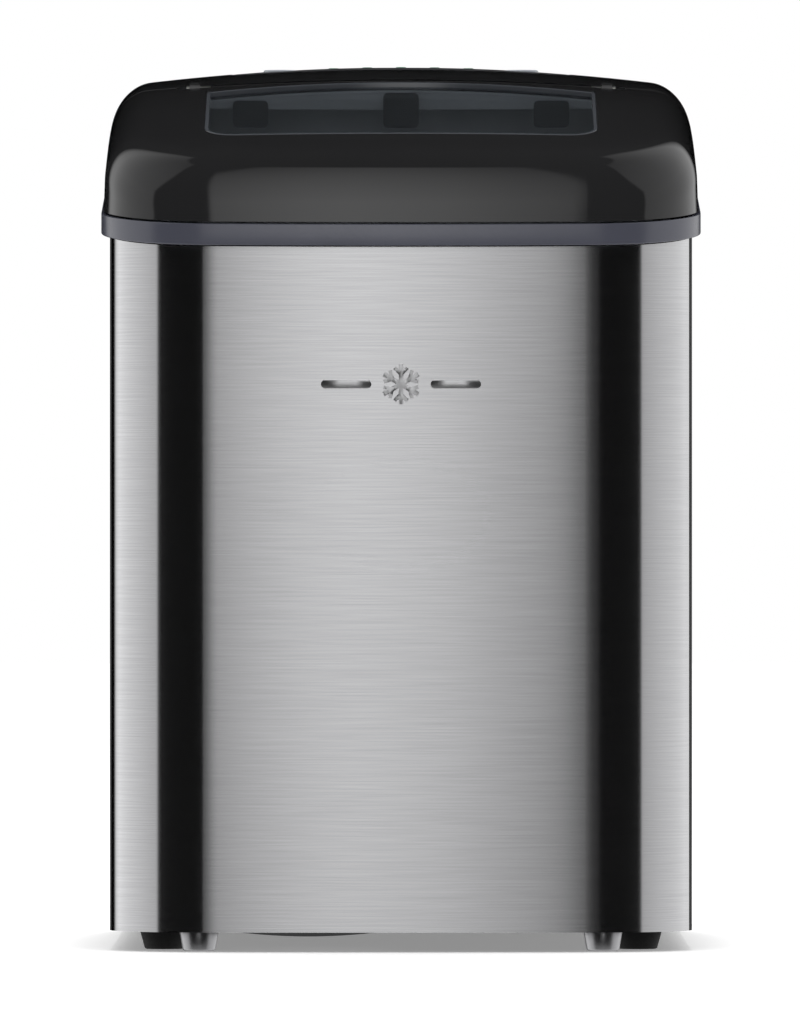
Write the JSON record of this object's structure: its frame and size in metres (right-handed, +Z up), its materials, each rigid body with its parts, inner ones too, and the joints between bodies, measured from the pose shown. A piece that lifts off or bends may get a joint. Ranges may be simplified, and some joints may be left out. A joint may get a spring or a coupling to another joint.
{
  "type": "ice maker",
  "caption": "Countertop ice maker with a brushed steel front, domed black lid with a smoked window, ice basket, tilting water tray and a compressor cooling unit.",
  "frame": {"origin": "centre of the footprint, on the surface that the feet stand on", "axes": "+X to the right seen from the front, +Y to the back, +Z up; the front faces -Y"},
  "size_m": [0.242, 0.36, 0.3619],
  "materials": {
    "stainless": "horizontally brushed satin stainless",
    "black_sheet": "satin black powder coat",
    "band_paint": "semi-gloss blue-grey",
    "badge_metal": "satin",
    "silver_foot": "silver grey satin",
    "black_rubber": "matte moulded rubber",
    "black_plastic": "fine satin moulding",
    "white_plastic": "satin food-grade moulding",
    "float_plastic": "matt foamed plastic",
    "screw_steel": "zinc-plated",
    "foam": "rigid foam",
    "gloss_black": "high gloss",
    "smoked_window": "smoked transparent plastic",
    "rim_grey": "satin blue-grey",
    "button_grey": "satin",
    "lens_green": "tinted translucent",
    "board": "solder mask",
    "nickel": "bright nickel plate",
    "hose_clear": "translucent silicone",
    "compressor_paint": "gloss black enamel",
    "fin_aluminium": "plain mill finish",
    "copper": "drawn copper"
  },
  "bodies": {
    "cabinet": {"base_pan": "black_sheet", "front_panel": "stainless", "left_side_panel": "black_sheet", "right_side_panel": "black_sheet", "back_panel": "black_sheet", "trim_band": "band_paint", "front_badge": "badge_metal", "front_feet": "silver_foot", "rear_corner_feet": "black_rubber", "front_corner_feet": "black_rubber", "drain_outlet": "white_plastic", "panel_screws": "screw_steel", "cord_gland": "black_plastic", "tub": "white_plastic", "tub_foam": "foam", "tub_deck": "white_plastic", "bulkhead": "screw_steel", "hinge_brackets": "black_plastic", "housing_wall": "black_plastic", "rear_cover": "gloss_black", "control_panel": "gloss_black", "indicator_lenses": "lens_green", "control_board": "board", "button_switches": "black_plastic", "ice_slide": "white_plastic", "harvest_frame": "white_plastic", "evaporator": "nickel", "tray_motor": "black_plastic", "ice_full_sensors": "black_plastic", "water_pump": "black_plastic", "pump_motor": "black_plastic", "water_hose": "hose_clear", "float_stem": "white_plastic", "compressor": "compressor_paint", "compressor_mounts": "black_rubber", "compressor_relay": "black_plastic", "fan_motor": "screw_steel", "fan_shroud": "black_plastic", "condenser": "fin_aluminium", "filter_drier": "copper", "gas_valve": "screw_steel", "refrigerant_lines": "copper"},
    "lid": {"lid_shell": "gloss_black", "lid_window": "smoked_window", "window_rim": "rim_grey", "window_liner": "rim_grey", "window_clips": "black_plastic", "hinge_barrel": "black_plastic", "hinge_pins": "screw_steel"},
    "basket": {"ice_basket": "white_plastic"},
    "power_button": {"power_button": "button_grey"},
    "select_button": {"select_button": "button_grey"},
    "fan": {"fan_blade": "white_plastic"},
    "pump_rotor": {"pump_impeller": "white_plastic"},
    "tray": {"water_tray": "white_plastic"},
    "shovel": {"ice_shovel": "white_plastic"},
    "float": {"level_float": "float_plastic"},
    "drain_cap": {"drain_cap": "black_plastic"}
  },
  "joints": [
    {"name": "lid_hinge", "type": "hinge", "parent": "cabinet", "child": "lid", "pos_m": [0, -0.03, 0.35], "axis": [-1, 0, 0], "range_deg": [0, 65]},
    {"name": "basket_lift", "type": "slide", "parent": "cabinet", "child": "basket", "axis": [0, 0, 1], "range_m": [0, 0.016]},
    {"name": "power_press", "type": "slide", "parent": "cabinet", "child": "power_button", "axis": [0, 0, -1], "range_m": [0, 0.001], "stiffness_N_per_m": 800},
    {"name": "select_press", "type": "slide", "parent": "cabinet", "child": "select_button", "axis": [0, 0, -1], "range_m": [0, 0.001], "stiffness_N_per_m": 800},
    {"name": "fan_spin", "type": "hinge", "parent": "cabinet", "child": "fan", "pos_m": [0.05, 0.11, 0.088], "axis": [1, 0, 0], "continuous": true},
    {"name": "pump_spin", "type": "hinge", "parent": "cabinet", "child": "pump_rotor", "pos_m": [0.07, 0.01, 0.08], "axis": [0, 0, 1], "continuous": true},
    {"name": "tray_tilt", "type": "hinge", "parent": "cabinet", "child": "tray", "pos_m": [0, 0.018, 0.246], "axis": [1, 0, 0], "range_deg": [0, 70]},
    {"name": "shovel_swing", "type": "hinge", "parent": "cabinet", "child": "shovel", "pos_m": [0, -0.03, 0.262], "axis": [-1, 0, 0], "range_deg": [0, 35]},
    {"name": "float_rise", "type": "slide", "parent": "cabinet", "child": "float", "axis": [0, 0, 1], "range_m": [0, 0.016]},
    {"name": "drain_cap_turn", "type": "hinge", "parent": "cabinet", "child": "drain_cap", "pos_m": [-0.0375, -0.125, 0.006], "axis": [0, 0, 1], "range_deg": [0, 90]}
  ],
  "couplings": [
    {"joint": "shovel_swing", "follows": "tray_tilt", "ratio": 0.5}
  ]
}
